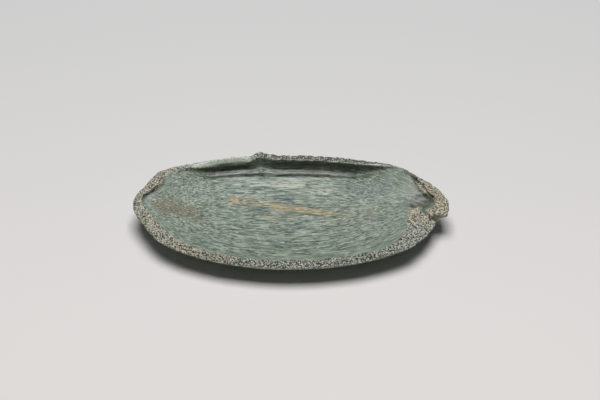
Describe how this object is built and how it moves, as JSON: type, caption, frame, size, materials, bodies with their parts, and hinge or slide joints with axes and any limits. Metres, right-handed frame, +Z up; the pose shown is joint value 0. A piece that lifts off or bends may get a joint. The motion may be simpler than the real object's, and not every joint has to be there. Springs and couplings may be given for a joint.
{
  "type": "paint dish",
  "caption": "Shallow shell-shaped stone paint dish with a hinge ledge, a beak on its back rim and a chipped rim.",
  "frame": {"origin": "under the middle of the dish's bounding box, on the surface that it stands on", "axes": "+X along the dish to the end with the broken rim, +Y across it to the hinge side, +Z up out of the bowl"},
  "size_m": [0.1022, 0.0506, 0.0121],
  "materials": {
    "stone": "worn green schist, faintly polished in the bowl, granular and dull on the chipped rim"
  },
  "bodies": {
    "root": {"dish": "stone"}
  },
  "joints": []
}
